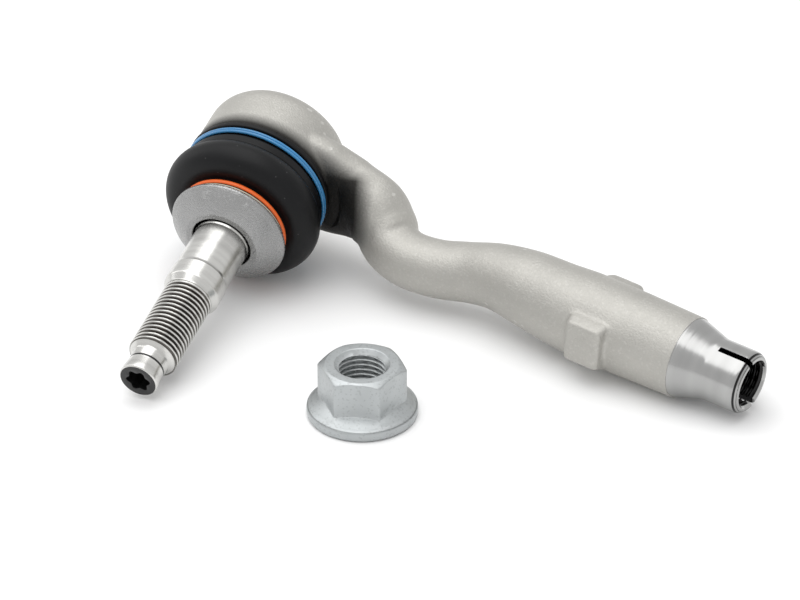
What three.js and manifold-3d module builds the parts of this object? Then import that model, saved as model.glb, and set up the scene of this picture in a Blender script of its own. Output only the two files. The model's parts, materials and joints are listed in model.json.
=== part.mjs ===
// Outer tie rod end: a ball joint in a forged aluminium arm with a slit, threaded collet, and its
// flange nut.
// Millimetres, +Z up. The origin is the ball's centre, and +X runs along the straight shank to the collet.
// The stud points down and forward. The part rests on the shank's belly, with the boot and the stud's tip
// close above the floor, and the nut stands beside it.

import * as THREE from 'three';
import { mergeVertices } from 'three/addons/utils/BufferGeometryUtils.js';
import Module from 'manifold-3d';

const wasm = await Module();
wasm.setup();

// ---- Clearances ----
const GAP = 0.3;              // between two pieces that touch on the real part
const EPS = 0.5;              // how far a cutting solid runs past the face it cuts

// ---- Where things lie ----
const STUD_TURN = -76.5;      // stud's heading in plan, degrees from +X
const STUD_DROP = 13.1;       // stud's slope below the horizontal, degrees
const SHANK_Y = 7.75;         // shank's axis where it passes the ball's centre
const SHANK_Z = -6.46;
const SHANK_DROP = 3.4;       // shank's slope below the horizontal, degrees

// ---- Ball stud (lengths along the stud, from the ball's centre) ----
const BALL_R = 12;
const BALL_FLAT_DEPTH = 0.8;  // how much of the ball's back is turned flat
const NECK_R = 6.8;
const NECK_END = 13.5;
const SEAT_R = 8.2;           // cylinder that carries the boot bush and the collar
const SEAT_START = 16.4;
const SHANK_START = 29.2;
const SHANK_SMALL_R = 7.85;   // the shank tapers to this
const SHANK_END = 44.2;
const BAND_R = 8.15;
const BAND_START = 45;
const BAND_END = 50.2;
const THREAD_R = 7;           // M14 x 1.5
const THREAD_START = 52.2;
const THREAD_END = 76.2;
const PILOT_R = 5.5;
const PILOT_LENGTH = 9.5;
const TIP_CHAMFER = 0.4;
const STAR_OUT_R = 3.5;       // six-pointed driving socket
const STAR_IN_R = 2.6;
const STAR_DEPTH = 5;

// ---- Bearing seat and closing cover ----
const SEAT_WALL = 1.8;        // wall at the ball's equator
const SEAT_FRONT = 6.3;
const SEAT_BACK_WALL = 1.6;
const SEAT_VENT_R = 4;        // grease pocket behind the ball
const COVER_THICK = 1.8;
const COVER_LEDGE = 0.4;      // how far the cover reaches past the bore
const COVER_DISH = 0.8;       // shallow dish in the cover
const COVER_DISH_R = 9;

// ---- Head of the housing ----
const HEAD_R = 21.1;
const HEAD_ROUND = 7.4;       // length of the rounded back
const ROLL_THICK = 1.5;       // rim rolled over the cover
const ROLL_REACH = 1.6;
const ROLL_WIDTH = 1.4;       // flat ring round the hole in the rim
const GROOVE_R = 18.2;        // groove for the boot's large end
const GROOVE_START = 2.1;
const GROOVE_END = 7.3;
const BEAD_R = 19.2;
const HEAD_FRONT = 8.8;
const HEAD_EDGE = 0.5;        // chamfer in front of the groove
const BEAD_EDGE = 0.3;
const BEAD_SLOPE = 0.2;
const MOUTH_ROOM = 1.5;       // opening in front of the seat, past the ball
const MOUTH_FLARE = 0.9;

// ---- Boot, its clamp rings and its bush ----
const BOOT_LIP_R = 21.5;
const BOOT_LIP_END = 3.7;
const BLUE_WIRE_R = 0.5;      // two turns side by side
const BLUE_PITCH = 1.0;
const BLUE_SEAT_R = 20.3;
const BOOT_COLLAR_R = 21.3;
const BOOT_WAIST = 10.2;      // fine groove below the large end
const BULGE_STAND = 1.8;      // how far the bulge stands out past the large end
const BULGE_AT = 14.1;
const BULGE_ROUND = 5.6;
const BOOT_WALL = 1.9;
const BOOT_NOTCH = 0.5;       // depth of the fine groove
const BOOT_SLOPE = 0.4;       // length of the slopes into the boot's grooves
const BOOT_SMALL_R = 15.7;
const ORANGE_AT = 20.9;
const ORANGE_WIRE_R = 0.75;
const ORANGE_SEAT_R = 14.1;
const ORANGE_SHOULDER = 0.9;  // from the wire to the boot's shoulder behind it
const BUSH_FLANGE_R = 16;
const BUSH_FLANGE_THICK = 0.7;
const BUSH_WALL = 1.7;
const BUSH_START = 16.9;

// ---- Seat collar pressed on the stud ----
const COLLAR_R = 17;
const COLLAR_BACK = 23.4;
const COLLAR_RIM_END = 24.7;
const COLLAR_CHAMFER = 0.8;
const COLLAR_FACE = 29.5;     // flat ring that the knuckle seats on
const COLLAR_FACE_WIDTH = 1.7;
const COLLAR_BORE_CHAMFER = 0.4;
const COLLAR_CROWN = 0.4;     // how far the cone bulges at its middle

// ---- Arm ----
// Stations of its centre line, with the half size along the stud's axis and the half size across it.
const ARM = [
  { at: [-0.9, 3.9, 0.9], half: [5.8, 17.5] },
  { at: [10.2, 7.0, -0.5], half: [6.0, 17.0] },
  { at: [18.2, 9.6, -2.9], half: [6.8, 15.6] },
  { at: [25.4, 10.6, -4.2], half: [7.5, 13.2] },
  { at: [32.3, 9.3, -5.2], half: [8.0, 11.7] },
  { at: [37.3, 7.9, -8.2], half: [8.2, 9.4] },
  { at: [41.0, 5.7, -11.2], half: [8.1, 8.3] },
  { at: [47.5, 4.2, -13.0], half: [7.9, 8.0] },
  { at: [57.0, 5.5, -13.7], half: [8.0, 8.2] },
  { at: [66.0, 7.9, -12.9], half: [8.3, 8.6] },
  { at: [75.3, 8.8, -11.6], half: [9.2, 9.6] },
  { at: [85.0, 8.5, -11.5], half: [10.6, 10.7] },
];
const ARM_JOIN = 97;          // lengths along the shank: the arm ends on the shank's axis
const ARM_JOIN_R = 11.5;
const ARM_OVERLAP = 4;        // how far the turned shank reaches back into the arm
const ARM_OVERLAP_DROP = 0.7;

// ---- Shank, wrench pads and collet (lengths along the shank's axis) ----
const SHANK_R = 11.95;
const SHANK_FULL = 104;       // where the shank reaches its full radius
const SHANK_TAPER = 119.5;    // where it starts to narrow again
const CONE_START = 137.5;
const CONE_R = 11.3;
const CONE_EDGE = 0.3;        // rounding where the cone starts
const CONE_EDGE_LENGTH = 0.5;
const CONE_END = 146;
const COLLET_R = 8.75;
const COLLET_END = 157.5;
const COLLET_CHAMFER = 0.9;
const COLLET_CHAMFER_LENGTH = 2.1;
const BORE_R = 6.25;          // minor radius of the M14 x 1.5 internal thread
const BORE_DEPTH = 34;
const BORE_MOUTH_R = 6.95;
const SLOT_WIDTH = 1.7;
const SLOT_START = 147.7;
const SLOT_LEAN = 15;         // the saw cut leans this far from the vertical, degrees
const PAD_LENGTH = 11;
const PAD_HEIGHT = 12.4;
const PAD_STAND = 2.25;       // from the shank's surface to a pad's flat
const PAD_EDGE = 0.8;         // chamfer on a pad's long edges
const NEAR_PAD_START = 106.7; // the pad on the stud's side
const FAR_PAD_START = 103.5;

// ---- Flange nut, standing beside the arm ----
const NUT_AT = [71.37, -50.32];
const NUT_TURN = 28;          // degrees
const NUT_FLATS = 21;
const NUT_HEIGHT = 15.5;
const NUT_FLANGE_R = 14.95;
const NUT_FLANGE_EDGE = 3.1;
const NUT_FLANGE_SLOPE = 2.0;
const NUT_CHAMFER = 1.5;
const NUT_BORE_R = 6.25;
const NUT_MOUTH_R = 7.5;
const NUT_TOP_INSET = 0.4;    // the top face is this much smaller than the flats
const NUT_FLANGE_CHAMFER = 0.5;
const NUT_FLANGE_LIP = 0.4;
const NUT_FLANGE_OVERLAP = 2; // how far the flange's slope runs in under the corners

// ---- Helpers ----

// A geometry with only positions, its shared vertices merged.
function plain(geometry) {
  const g = geometry.clone();
  g.deleteAttribute('normal');
  g.deleteAttribute('uv');
  return mergeVertices(g, 1e-5);
}

function toSolid(geometry) {
  const g = plain(geometry);
  return new wasm.Manifold(new wasm.Mesh({
    numProp: 3,
    vertProperties: new Float32Array(g.attributes.position.array),
    triVerts: new Uint32Array(g.index.array),
  }));
}

function toGeometry(solid) {
  const m = solid.getMesh();
  const g = new THREE.BufferGeometry();
  g.setAttribute('position', new THREE.BufferAttribute(new Float32Array(m.vertProperties), 3));
  g.setIndex(new THREE.BufferAttribute(new Uint32Array(m.triVerts), 1));
  g.computeVertexNormals();
  return g;
}

// A body turned about +Z from [radius, height] points given from the bottom up. A ring's profile closes
// on itself.
function turned(profile, segments) {
  const g = new THREE.LatheGeometry(profile.map(([r, z]) => new THREE.Vector2(r, z)), segments);
  return g.rotateX(Math.PI / 2);
}

function turnedRing(profile, segments) {
  return turned([...profile, profile[0]], segments);
}

// Points of an arc, both ends included. Angles in degrees, from the radius direction towards +Z.
function arc(centreR, centreZ, radius, from, to, steps) {
  return Array.from({ length: steps + 1 }, (_, i) => {
    const a = THREE.MathUtils.degToRad(from + (to - from) * i / steps);
    return [centreR + radius * Math.cos(a), centreZ + radius * Math.sin(a)];
  });
}

const degrees = (radians) => THREE.MathUtils.radToDeg(radians);

function material(color, roughness, metalness) {
  return new THREE.MeshStandardMaterial({ color, roughness, metalness });
}

function part(name, geometry, look) {
  const mesh = new THREE.Mesh(geometry, look);
  mesh.name = name;
  return mesh;
}

// The stud's axis, as a direction and as the turn that takes +Z to it.
const studAxis = new THREE.Vector3(
  Math.cos(THREE.MathUtils.degToRad(STUD_TURN)) * Math.cos(THREE.MathUtils.degToRad(STUD_DROP)),
  Math.sin(THREE.MathUtils.degToRad(STUD_TURN)) * Math.cos(THREE.MathUtils.degToRad(STUD_DROP)),
  -Math.sin(THREE.MathUtils.degToRad(STUD_DROP)),
);
const toStudAxis = new THREE.Quaternion().setFromUnitVectors(new THREE.Vector3(0, 0, 1), studAxis);

// Takes a shape on the +Z axis to the shank's axis: +Z goes along the shank, and +Y stays level.
const toShank = new THREE.Matrix4()
  .makeTranslation(0, SHANK_Y, SHANK_Z)
  .multiply(new THREE.Matrix4().makeRotationY(THREE.MathUtils.degToRad(90 + SHANK_DROP)));

// Values that follow from the ones above.
const seatInR = BALL_R + GAP;
const seatOutR = seatInR + SEAT_WALL;
const ballFlat = BALL_R - BALL_FLAT_DEPTH;
const seatBack = ballFlat + GAP + SEAT_BACK_WALL;
const boreR = seatOutR + GAP;
const recessR = boreR + COVER_LEDGE;
const coverFront = seatBack + GAP;
const coverBack = coverFront + COVER_THICK;
const headBack = coverBack + GAP + ROLL_THICK;
const onSeatR = SEAT_R + GAP; // bore of the bush and of the collar
const bushFront = COLLAR_BACK - GAP;
const bootFront = bushFront - BUSH_FLANGE_THICK - GAP;
const bulgeR = BOOT_COLLAR_R + BULGE_STAND;
const blueFloorStart = BOOT_LIP_END + GAP;
const blueFloorEnd = GROOVE_END - BOOT_NOTCH;
const studEnd = THREAD_END + PILOT_LENGTH;
const mouthR = Math.sqrt(BALL_R ** 2 - SEAT_FRONT ** 2) + MOUTH_ROOM;
const headBackR = recessR - ROLL_REACH + ROLL_WIDTH;
const padReach = SHANK_R + PAD_STAND;
const coneShoulder = [CONE_R + CONE_EDGE, CONE_START - CONE_EDGE_LENGTH];

// How low the shank reaches where it has this radius, at this length along its axis.
function bellyZ(radius, length) {
  const drop = THREE.MathUtils.degToRad(SHANK_DROP);
  return SHANK_Z - length * Math.sin(drop) - radius * Math.cos(drop);
}

// What the part lies on.
const floorZ = Math.min(bellyZ(SHANK_R, SHANK_TAPER), bellyZ(...coneShoulder));

// ---- Pieces on the stud's axis ----

function ballStud() {
  const backAngle = -degrees(Math.asin(ballFlat / BALL_R));
  const neckAngle = degrees(Math.acos(NECK_R / BALL_R));
  const profile = [
    [0, -ballFlat],
    ...arc(0, 0, BALL_R, backAngle, neckAngle, 13),
    [NECK_R, NECK_END],
    [SEAT_R, SEAT_START],
    [SEAT_R, SHANK_START],
    [SHANK_SMALL_R, SHANK_END],
    [BAND_R, BAND_START],
    [BAND_R, BAND_END],
    [THREAD_R, THREAD_START],
    [THREAD_R, THREAD_END],
    [PILOT_R, THREAD_END + (THREAD_R - PILOT_R) / 2],
    [PILOT_R, studEnd - TIP_CHAMFER],
    [PILOT_R - TIP_CHAMFER, studEnd],
    [0, studEnd],
  ];
  const star = new THREE.Shape(Array.from({ length: 12 }, (_, i) => {
    const r = i % 2 ? STAR_IN_R : STAR_OUT_R;
    const a = i * Math.PI / 6;
    return new THREE.Vector2(r * Math.cos(a), r * Math.sin(a));
  }));
  const socket = new THREE.ExtrudeGeometry(star, { depth: STAR_DEPTH + EPS, bevelEnabled: false });
  socket.translate(0, 0, studEnd - STAR_DEPTH);
  return toGeometry(toSolid(turned(profile, 32)).subtract(toSolid(socket)));
}

function bearingSeat() {
  const lipAngle = degrees(Math.asin(SEAT_FRONT / seatInR));
  const ventAngle = -degrees(Math.acos(SEAT_VENT_R / seatInR));
  return turnedRing([
    [SEAT_VENT_R, -seatBack],
    [seatOutR, -seatBack],
    [seatOutR, SEAT_FRONT],
    ...arc(0, 0, seatInR, lipAngle, ventAngle, 10),
  ], 32);
}

function closingCover() {
  const coverR = recessR - GAP;
  return turned([
    [0, -coverBack + COVER_DISH],
    [COVER_DISH_R - COVER_DISH, -coverBack + COVER_DISH],
    [COVER_DISH_R, -coverBack],
    [coverR, -coverBack],
    [coverR, -coverFront],
    [0, -coverFront],
  ], 32);
}

// The boot is one tube: outer face from the large end to the small end, and back inside. Where it would
// reach below what the part lies on, it is pressed flat.
function boot() {
  const bulgeCentre = bulgeR - BULGE_ROUND;
  const innerRound = BULGE_ROUND - BOOT_WALL;
  const largeInR = GROOVE_R + GAP;
  const passBeadR = BEAD_R + GAP;
  const smallInR = onSeatR + BUSH_WALL + GAP;
  const tube = turnedRing([
    [largeInR, GROOVE_START + GAP],
    [BOOT_LIP_R, GROOVE_START + GAP],
    [BOOT_LIP_R, BOOT_LIP_END],
    [BLUE_SEAT_R, blueFloorStart],
    [BLUE_SEAT_R, blueFloorEnd],
    [BOOT_COLLAR_R, GROOVE_END],
    [BOOT_COLLAR_R, BOOT_WAIST - BOOT_SLOPE],
    [BOOT_COLLAR_R - BOOT_NOTCH, BOOT_WAIST],
    ...arc(bulgeCentre, BULGE_AT, BULGE_ROUND, -38, 92, 7),
    [BOOT_SMALL_R, ORANGE_AT - ORANGE_WIRE_R - ORANGE_SHOULDER],
    [ORANGE_SEAT_R, ORANGE_AT - ORANGE_WIRE_R - BOOT_SLOPE],
    [ORANGE_SEAT_R, ORANGE_AT + ORANGE_WIRE_R - 0.1],
    [BOOT_SMALL_R, bootFront],
    [smallInR, bootFront],
    [smallInR, BUSH_START],
    ...arc(bulgeCentre, BULGE_AT, innerRound, 92, -38, 5),
    [passBeadR, BOOT_WAIST],
    [passBeadR, GROOVE_END - BEAD_SLOPE],
    [largeInR, GROOVE_END - GAP - BEAD_SLOPE],
  ], 36);
  const reach = 4 * bulgeR;
  const below = new THREE.BoxGeometry(reach, reach, bulgeR);
  below.translate(0, 0, floorZ - bulgeR / 2);
  const lying = toSolid(tube.applyQuaternion(toStudAxis)).subtract(toSolid(below));
  return toGeometry(lying).applyQuaternion(toStudAxis.clone().invert());
}

// Two touching turns of round wire, as one ring with a waist between them.
function blueRing() {
  const centreR = BLUE_SEAT_R + GAP + BLUE_WIRE_R;
  const middle = (blueFloorStart + blueFloorEnd) / 2;
  const low = middle - BLUE_PITCH / 2;
  const high = middle + BLUE_PITCH / 2;
  return turnedRing([
    ...arc(centreR, low, BLUE_WIRE_R, -180, 75, 4),
    ...arc(centreR, high, BLUE_WIRE_R, -75, 180, 4),
  ], 36);
}

function orangeRing() {
  const centreR = ORANGE_SEAT_R + GAP + ORANGE_WIRE_R;
  return turnedRing(arc(centreR, ORANGE_AT, ORANGE_WIRE_R, -180, 135, 7), 36);
}

function bootBush() {
  return turnedRing([
    [onSeatR, BUSH_START],
    [onSeatR + BUSH_WALL, BUSH_START],
    [onSeatR + BUSH_WALL, bushFront - BUSH_FLANGE_THICK],
    [BUSH_FLANGE_R, bushFront - BUSH_FLANGE_THICK],
    [BUSH_FLANGE_R, bushFront],
    [onSeatR, bushFront],
  ], 32);
}

function seatCollar() {
  const faceInR = onSeatR + COLLAR_BORE_CHAMFER;
  const faceOutR = faceInR + COLLAR_FACE_WIDTH;
  const shoulder = COLLAR_RIM_END + COLLAR_CHAMFER;
  const middleR = (COLLAR_R + faceOutR) / 2;
  return turnedRing([
    [onSeatR, COLLAR_BACK],
    [COLLAR_R - COLLAR_CHAMFER / 2, COLLAR_BACK],
    [COLLAR_R, COLLAR_BACK + COLLAR_CHAMFER / 2],
    [COLLAR_R, COLLAR_RIM_END],
    [COLLAR_R - COLLAR_CHAMFER, shoulder],
    [middleR, (shoulder + COLLAR_FACE) / 2 + COLLAR_CROWN],
    [faceOutR, COLLAR_FACE],
    [faceInR, COLLAR_FACE],
    [onSeatR, COLLAR_FACE - COLLAR_BORE_CHAMFER],
  ], 36);
}

// ---- Housing ----

function headSolid() {
  const roundFrom = -headBack + HEAD_ROUND;
  const rounded = Array.from({ length: 6 }, (_, i) => {
    const a = i / 5 * Math.PI / 2;
    return [
      headBackR + (HEAD_R - headBackR) * Math.sin(a),
      roundFrom - HEAD_ROUND * Math.cos(a),
    ];
  });
  const outside = turned([
    [0, -headBack],
    ...rounded,
    [HEAD_R, GROOVE_START - HEAD_EDGE],
    [HEAD_R - HEAD_EDGE, GROOVE_START],
    [GROOVE_R, GROOVE_START],
    [GROOVE_R, GROOVE_END],
    [BEAD_R, GROOVE_END + BEAD_SLOPE],
    [BEAD_R, HEAD_FRONT - BEAD_EDGE],
    [BEAD_R - BEAD_EDGE, HEAD_FRONT],
    [0, HEAD_FRONT],
  ], 44);
  return toSolid(outside.applyQuaternion(toStudAxis));
}

function headCavity() {
  const shelf = SEAT_FRONT + GAP;
  const cavity = turned([
    [0, -headBack - EPS],
    [recessR - ROLL_REACH, -headBack - EPS],
    [recessR - ROLL_REACH, -coverBack - GAP],
    [recessR, -coverBack - GAP],
    [recessR, -coverFront + GAP],
    [boreR, -coverFront + GAP],
    [boreR, shelf],
    [mouthR, shelf],
    [mouthR + MOUTH_FLARE, HEAD_FRONT],
    [mouthR + MOUTH_FLARE, HEAD_FRONT + EPS],
    [0, HEAD_FRONT + EPS],
  ], 36);
  return toSolid(cavity.applyQuaternion(toStudAxis));
}

// A closed tube whose ellipse changes size along the arm's centre line. It starts as a cylinder with
// closed ends, and each vertex moves to the place with the same share of the length and the same angle.
function armSolid() {
  const join = new THREE.Vector3(0, 0, ARM_JOIN).applyMatrix4(toShank);
  const centres = [...ARM.map(({ at }) => new THREE.Vector3(...at)), join];
  const joinHalf = new THREE.Vector3(ARM_JOIN_R, ARM_JOIN_R, 0);
  const halves = [...ARM.map(({ half }) => new THREE.Vector3(...half, 0)), joinHalf];
  const line = new THREE.CatmullRomCurve3(centres, false, 'centripetal');
  const sizes = new THREE.CatmullRomCurve3(halves, false, 'centripetal');
  const tube = new THREE.CylinderGeometry(1, 1, 1, 24, 28);
  const spots = tube.attributes.position;
  for (let i = 0; i < spots.count; i += 1) {
    const share = spots.getY(i) + 0.5;
    const centre = line.getPoint(share);
    const tangent = line.getTangent(share);
    const along = studAxis.clone().addScaledVector(tangent, -studAxis.dot(tangent)).normalize();
    const across = new THREE.Vector3().crossVectors(tangent, along);
    const size = sizes.getPoint(share);
    centre.addScaledVector(along, spots.getX(i) * size.x);
    centre.addScaledVector(across, -spots.getZ(i) * size.y);
    spots.setXYZ(i, centre.x, centre.y, centre.z);
  }
  return toSolid(tube);
}

// The shank, cone and collet turned about the shank's axis, in place.
function shankSolid() {
  const outside = turned([
    [0, ARM_JOIN - ARM_OVERLAP],
    [ARM_JOIN_R - ARM_OVERLAP_DROP, ARM_JOIN - ARM_OVERLAP],
    [ARM_JOIN_R, ARM_JOIN],
    [SHANK_R, SHANK_FULL],
    [SHANK_R, SHANK_TAPER],
    coneShoulder,
    [CONE_R, CONE_START],
    [COLLET_R, CONE_END],
    [COLLET_R, COLLET_END - COLLET_CHAMFER_LENGTH],
    [COLLET_R - COLLET_CHAMFER, COLLET_END],
    [0, COLLET_END],
  ], 36);
  return toSolid(outside.applyMatrix4(toShank));
}

function shankCuts() {
  const mouth = BORE_MOUTH_R - BORE_R;
  const bore = turned([
    [0, COLLET_END - BORE_DEPTH - BORE_R / 2],
    [BORE_R, COLLET_END - BORE_DEPTH],
    [BORE_R, COLLET_END - mouth],
    [BORE_MOUTH_R, COLLET_END],
    [BORE_MOUTH_R, COLLET_END + EPS],
    [0, COLLET_END + EPS],
  ], 24);
  const slotLength = COLLET_END + EPS - SLOT_START;
  const slot = new THREE.BoxGeometry(SLOT_WIDTH, 2 * (COLLET_R + EPS), slotLength);
  slot.translate(0, 0, SLOT_START + slotLength / 2);
  slot.rotateZ(THREE.MathUtils.degToRad(SLOT_LEAN - 90));
  return toSolid(bore.applyMatrix4(toShank)).add(toSolid(slot.applyMatrix4(toShank)));
}

// A wrench pad is a block from the shank's axis out to its flat, with its long outer edges taken off.
// side is -1 on the stud's side of the shank and 1 on the far side.
function wrenchPad(side, start) {
  const outline = new THREE.Shape([
    new THREE.Vector2(0, -PAD_HEIGHT / 2),
    new THREE.Vector2(padReach - PAD_EDGE, -PAD_HEIGHT / 2),
    new THREE.Vector2(padReach, -PAD_HEIGHT / 2 + PAD_EDGE),
    new THREE.Vector2(padReach, PAD_HEIGHT / 2 - PAD_EDGE),
    new THREE.Vector2(padReach - PAD_EDGE, PAD_HEIGHT / 2),
    new THREE.Vector2(0, PAD_HEIGHT / 2),
  ]);
  const block = new THREE.ExtrudeGeometry(outline, { depth: PAD_LENGTH, bevelEnabled: false });
  block.rotateZ(side * Math.PI / 2).translate(0, 0, start);
  return toSolid(block.applyMatrix4(toShank));
}

function housingArm() {
  const pads = wrenchPad(-1, NEAR_PAD_START).add(wrenchPad(1, FAR_PAD_START));
  const outside = headSolid().add(armSolid()).add(shankSolid()).add(pads);
  return toGeometry(outside.subtract(headCavity()).subtract(bootRoom()).subtract(shankCuts()));
}

// Keeps the arm out of the groove for the boot's large end.
function bootRoom() {
  const room = 1;
  const ring = turnedRing([
    [GROOVE_R, GROOVE_START],
    [bulgeR + room, GROOVE_START],
    [bulgeR + room, HEAD_FRONT + room],
    [BEAD_R, HEAD_FRONT + room],
    [BEAD_R, GROOVE_END + BEAD_SLOPE],
    [GROOVE_R, GROOVE_END],
  ], 44);
  return toSolid(ring.applyQuaternion(toStudAxis));
}

// ---- Nut ----

function flangeNut() {
  const cornerR = NUT_FLATS / Math.sqrt(3);
  const hex = new THREE.CylinderGeometry(cornerR, cornerR, NUT_HEIGHT, 6);
  hex.rotateX(Math.PI / 2).rotateZ(Math.PI / 2).translate(0, 0, NUT_HEIGHT / 2);
  const chamferTopR = NUT_FLATS / 2 - NUT_TOP_INSET;
  const envelope = turned([
    [0, 0],
    [cornerR + 1, 0],
    [cornerR + 1, NUT_HEIGHT - NUT_CHAMFER],
    [chamferTopR, NUT_HEIGHT],
    [0, NUT_HEIGHT],
  ], 30);
  const flange = turned([
    [0, 0],
    [NUT_FLANGE_R - NUT_FLANGE_CHAMFER, 0],
    [NUT_FLANGE_R, NUT_FLANGE_CHAMFER],
    [NUT_FLANGE_R, NUT_FLANGE_EDGE - NUT_FLANGE_LIP],
    [NUT_FLANGE_R - NUT_FLANGE_CHAMFER, NUT_FLANGE_EDGE],
    [cornerR - NUT_FLANGE_OVERLAP, NUT_FLANGE_EDGE + NUT_FLANGE_SLOPE],
    [0, NUT_FLANGE_EDGE + NUT_FLANGE_SLOPE],
  ], 36);
  const mouth = NUT_MOUTH_R - NUT_BORE_R;
  const bore = turned([
    [0, -EPS],
    [NUT_MOUTH_R + EPS, -EPS],
    [NUT_BORE_R, mouth],
    [NUT_BORE_R, NUT_HEIGHT - mouth],
    [NUT_MOUTH_R + EPS, NUT_HEIGHT + EPS],
    [0, NUT_HEIGHT + EPS],
  ], 24);
  const body = toSolid(hex).intersect(toSolid(envelope)).add(toSolid(flange)).subtract(toSolid(bore));
  return toGeometry(body);
}

// ---- The tie rod end ----

const tieRodEnd = new THREE.Group();
tieRodEnd.add(part('housing_arm', housingArm(), material(0xb5b2ac, 0.5, 0.85)));

const onStudAxis = new THREE.Group();
onStudAxis.quaternion.copy(toStudAxis);
onStudAxis.add(part('bearing_seat', bearingSeat(), material(0xe8e4d8, 0.45, 0)));
onStudAxis.add(part('closing_cover', closingCover(), material(0x9a9a98, 0.4, 0.9)));
onStudAxis.add(part('ball_stud', ballStud(), material(0xc9c6c0, 0.25, 1)));
onStudAxis.add(part('seat_collar', seatCollar(), material(0xa2a3a5, 0.45, 0.9)));
onStudAxis.add(part('boot', boot(), material(0x1b1c1f, 0.6, 0)));
onStudAxis.add(part('boot_large_ring', blueRing(), material(0x2f7fc0, 0.35, 0.1)));
onStudAxis.add(part('boot_small_ring', orangeRing(), material(0xe8612f, 0.5, 0)));
onStudAxis.add(part('boot_bush', bootBush(), material(0xb9b4a4, 0.4, 0)));
tieRodEnd.add(onStudAxis);

const nut = part('flange_nut', flangeNut(), material(0xc4c9cb, 0.4, 0.9));
nut.position.set(NUT_AT[0], NUT_AT[1], floorZ);
nut.rotation.z = THREE.MathUtils.degToRad(NUT_TURN);
tieRodEnd.add(nut);

export default tieRodEnd;
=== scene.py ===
"""Visual model of an outer tie rod end: forged housing, ball stud, boot, clamp rings, collar, flange nut.

Shapes are worked out in millimetres on two axes of the frame, the stud's and the shank's, and written in
metres.
"""

import json

import bpy
import numpy as np
from bpy.props import FloatProperty, FloatVectorProperty, PointerProperty
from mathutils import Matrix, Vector


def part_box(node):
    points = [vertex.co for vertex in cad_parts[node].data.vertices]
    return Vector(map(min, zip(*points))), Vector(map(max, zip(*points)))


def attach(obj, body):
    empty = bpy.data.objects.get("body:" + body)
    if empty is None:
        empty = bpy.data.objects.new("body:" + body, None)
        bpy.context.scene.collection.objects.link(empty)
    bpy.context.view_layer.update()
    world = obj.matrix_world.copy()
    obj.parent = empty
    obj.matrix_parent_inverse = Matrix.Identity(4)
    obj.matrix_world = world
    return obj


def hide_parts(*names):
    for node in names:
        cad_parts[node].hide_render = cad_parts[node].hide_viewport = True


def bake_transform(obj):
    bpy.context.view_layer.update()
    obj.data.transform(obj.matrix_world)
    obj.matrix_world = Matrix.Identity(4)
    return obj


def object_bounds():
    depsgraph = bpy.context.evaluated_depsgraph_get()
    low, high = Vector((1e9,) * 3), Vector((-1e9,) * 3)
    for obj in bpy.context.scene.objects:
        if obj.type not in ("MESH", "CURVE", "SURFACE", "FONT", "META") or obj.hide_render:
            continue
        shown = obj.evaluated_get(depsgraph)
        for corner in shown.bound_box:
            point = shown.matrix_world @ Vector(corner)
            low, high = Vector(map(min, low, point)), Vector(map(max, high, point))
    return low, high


bl_info = {
    "name": "Tie Rod End",
    "version": (1, 0, 0),
    "blender": (4, 5, 0),
    "location": "View3D > Sidebar > Tie Rod End",
    "description": "Builds the visual pieces of an outer tie rod end on its packed frame",
    "category": "Add Mesh",
}

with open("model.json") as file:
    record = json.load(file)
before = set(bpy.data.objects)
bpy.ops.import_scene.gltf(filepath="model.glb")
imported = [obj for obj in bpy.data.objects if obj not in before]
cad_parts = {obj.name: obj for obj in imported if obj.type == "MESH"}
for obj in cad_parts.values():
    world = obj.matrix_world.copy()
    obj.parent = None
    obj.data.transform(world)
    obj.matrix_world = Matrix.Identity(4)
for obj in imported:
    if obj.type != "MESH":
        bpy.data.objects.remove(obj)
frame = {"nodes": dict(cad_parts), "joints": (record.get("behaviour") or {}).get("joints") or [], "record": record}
CAD_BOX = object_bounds()
MM = 0.001

# ---- The frame's axes ----
MOUNTS = {mount["name"]: mount for mount in frame["record"]["mounts"]}
JOINTS = {joint["name"]: joint for joint in frame["joints"]}


def mount_place(name):
    """The mount's point in millimetres."""
    return np.array(MOUNTS[name]["pos_m"], float) / MM


def mount_axis(name):
    return np.array(MOUNTS[name]["axis"], float)


class Axis:
    """An origin and three directions: point (x, y, h) lies at origin + x * side + y * up + h * along."""

    def __init__(self, origin, side, along):
        self.origin = np.array(origin, float)
        self.along = np.array(along, float) / np.linalg.norm(along)
        side = np.array(side, float)
        side -= side @ self.along * self.along
        self.side = side / np.linalg.norm(side)
        self.up = np.cross(self.along, self.side)

    def put(self, points):
        return self.origin + points @ np.array([self.side, self.up, self.along])

    def at(self, height):
        """The point in metres at that height on the axis."""
        return tuple((self.origin + self.along * height) * MM)


# ---- Sizes shared by the pieces, in millimetres (lengths along the stud count from the ball's centre) ----
GAP = 0.3
THREAD_PITCH = 1.5
THREAD_R = 7.0
THREAD_ROWS = 14  # rows of a thread's grid in one pitch
BORE_R = 6.25

BALL_R = 12.0
BALL_FLAT = 11.2
NECK_R = 6.8
STUD_SEAT_R = 8.2
BAND = (45.0, 50.2, 8.15)  # start, end, radius
STUD_THREAD = (52.2, 76.2)  # start, end
STUD_END = 85.7
PILOT_R = 5.5
STAR_R = 3.15
STAR_LOBE = 0.42
STAR_DEPTH = 5.0

HEAD_R = 21.1
HEAD_BACK = 17.0
GROOVE = (2.1, 7.3, 18.2)  # start, end, radius
HEAD_FRONT = 9.0
COVER_BACK = 15.2
COVER_R = 14.8
ROLL_HOLE_R = 13.2
SEAT_BORE = (-13.1, 6.6, 14.4)  # start, end, radius
MOUTH_R = 12.6

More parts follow.
